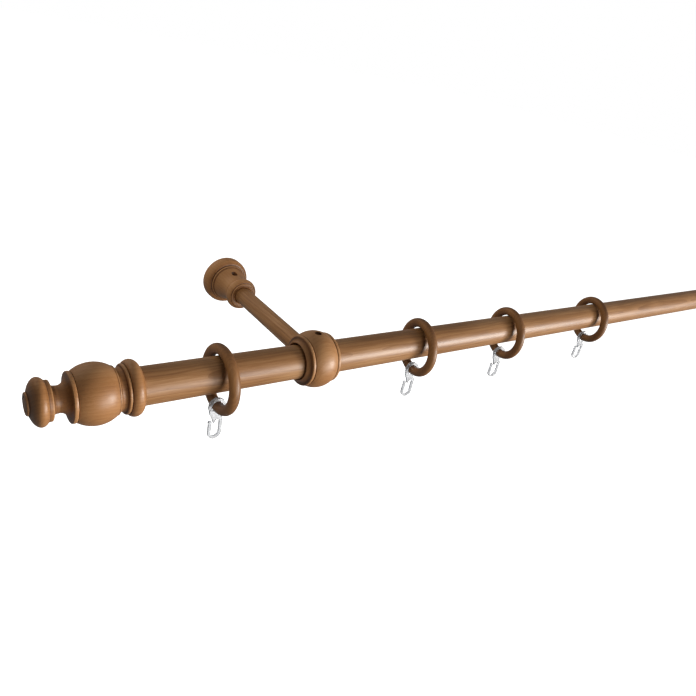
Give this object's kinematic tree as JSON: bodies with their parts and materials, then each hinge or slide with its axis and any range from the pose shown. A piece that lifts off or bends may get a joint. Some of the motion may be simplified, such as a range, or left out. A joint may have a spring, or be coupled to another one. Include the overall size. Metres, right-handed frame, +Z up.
{
  "type": "curtain rod",
  "caption": "Round wooden curtain rod with turned ball finials, held in two rosette-footed wall brackets, with wooden rings that slide along it and clear plastic hooks that swing under them.",
  "frame": {"origin": "in the wall plane, midway between the two brackets, at the height of the bracket arms", "axes": "+X along the rod to the right seen from the room, +Y into the wall, +Z up"},
  "size_m": [1.7232, 0.1981, 0.0841],
  "materials": {
    "stained_wood": "satin",
    "turned_wood": "satin",
    "ring_wood": "satin",
    "clear_plastic": "gloss",
    "zinc_steel": "satin",
    "black_steel": "satin"
  },
  "bodies": {
    "rail": {"rod": "stained_wood", "finial_left": "turned_wood", "finial_right": "turned_wood", "finial_dowel_screws": "zinc_steel", "rod_holder_left": "turned_wood", "rod_holder_right": "turned_wood", "holder_lock_screws": "black_steel", "arm_left": "stained_wood", "arm_right": "stained_wood", "rosette_left": "turned_wood", "rosette_right": "turned_wood", "rosette_lock_screws": "black_steel", "wall_plate_left": "zinc_steel", "wall_plate_right": "zinc_steel"},
    "ring_1": {"ring_1": "ring_wood"},
    "hook_1": {"hook_1": "clear_plastic"},
    "ring_2": {"ring_2": "ring_wood"},
    "hook_2": {"hook_2": "clear_plastic"},
    "ring_3": {"ring_3": "ring_wood"},
    "hook_3": {"hook_3": "clear_plastic"},
    "ring_4": {"ring_4": "ring_wood"},
    "hook_4": {"hook_4": "clear_plastic"},
    "ring_5": {"ring_5": "ring_wood"},
    "hook_5": {"hook_5": "clear_plastic"},
    "ring_6": {"ring_6": "ring_wood"},
    "hook_6": {"hook_6": "clear_plastic"},
    "ring_7": {"ring_7": "ring_wood"},
    "hook_7": {"hook_7": "clear_plastic"},
    "ring_8": {"ring_8": "ring_wood"},
    "hook_8": {"hook_8": "clear_plastic"}
  },
  "joints": [
    {"name": "ring_1_slide", "type": "slide", "parent": "rail", "child": "ring_1", "axis": [1, 0, 0], "range_m": [-0.057, 0.061]},
    {"name": "hook_1_swing", "type": "hinge", "parent": "ring_1", "child": "hook_1", "pos_m": [-0.728, -0.17, -0.02995], "axis": [0, 1, 0], "range_deg": [-75, 75]},
    {"name": "ring_2_slide", "type": "slide", "parent": "rail", "child": "ring_2", "axis": [1, 0, 0], "range_m": [-0.096, 0.111]},
    {"name": "hook_2_swing", "type": "hinge", "parent": "ring_2", "child": "hook_2", "pos_m": [-0.523, -0.17, -0.02995], "axis": [0.1564, 0.9877, 0], "range_deg": [-75, 75]},
    {"name": "ring_3_slide", "type": "slide", "parent": "rail", "child": "ring_3", "axis": [1, 0, 0], "range_m": [-0.111, 0.14]},
    {"name": "hook_3_swing", "type": "hinge", "parent": "ring_3", "child": "hook_3", "pos_m": [-0.393, -0.17, -0.02995], "axis": [0.2079, 0.9781, 0], "range_deg": [-75, 75]},
    {"name": "ring_4_slide", "type": "slide", "parent": "rail", "child": "ring_4", "axis": [1, 0, 0], "range_m": [-0.14, 0.442]},
    {"name": "hook_4_swing", "type": "hinge", "parent": "ring_4", "child": "hook_4", "pos_m": [-0.232, -0.17, -0.02995], "axis": [0.2588, 0.9659, 0], "range_deg": [-75, 75]},
    {"name": "ring_5_slide", "type": "slide", "parent": "rail", "child": "ring_5", "axis": [1, 0, 0], "range_m": [-0.442, 0.14]},
    {"name": "hook_5_swing", "type": "hinge", "parent": "ring_5", "child": "hook_5", "pos_m": [0.232, -0.17, -0.02995], "axis": [-0.2588, 0.9659, 0], "range_deg": [-75, 75]},
    {"name": "ring_6_slide", "type": "slide", "parent": "rail", "child": "ring_6", "axis": [1, 0, 0], "range_m": [-0.14, 0.111]},
    {"name": "hook_6_swing", "type": "hinge", "parent": "ring_6", "child": "hook_6", "pos_m": [0.393, -0.17, -0.02995], "axis": [-0.2079, 0.9781, 0], "range_deg": [-75, 75]},
    {"name": "ring_7_slide", "type": "slide", "parent": "rail", "child": "ring_7", "axis": [1, 0, 0], "range_m": [-0.111, 0.096]},
    {"name": "hook_7_swing", "type": "hinge", "parent": "ring_7", "child": "hook_7", "pos_m": [0.523, -0.17, -0.02995], "axis": [-0.1564, 0.9877, 0], "range_deg": [-75, 75]},
    {"name": "ring_8_slide", "type": "slide", "parent": "rail", "child": "ring_8", "axis": [1, 0, 0], "range_m": [-0.061, 0.057]},
    {"name": "hook_8_swing", "type": "hinge", "parent": "ring_8", "child": "hook_8", "pos_m": [0.728, -0.17, -0.02995], "axis": [0, 1, 0], "range_deg": [-75, 75]}
  ]
}
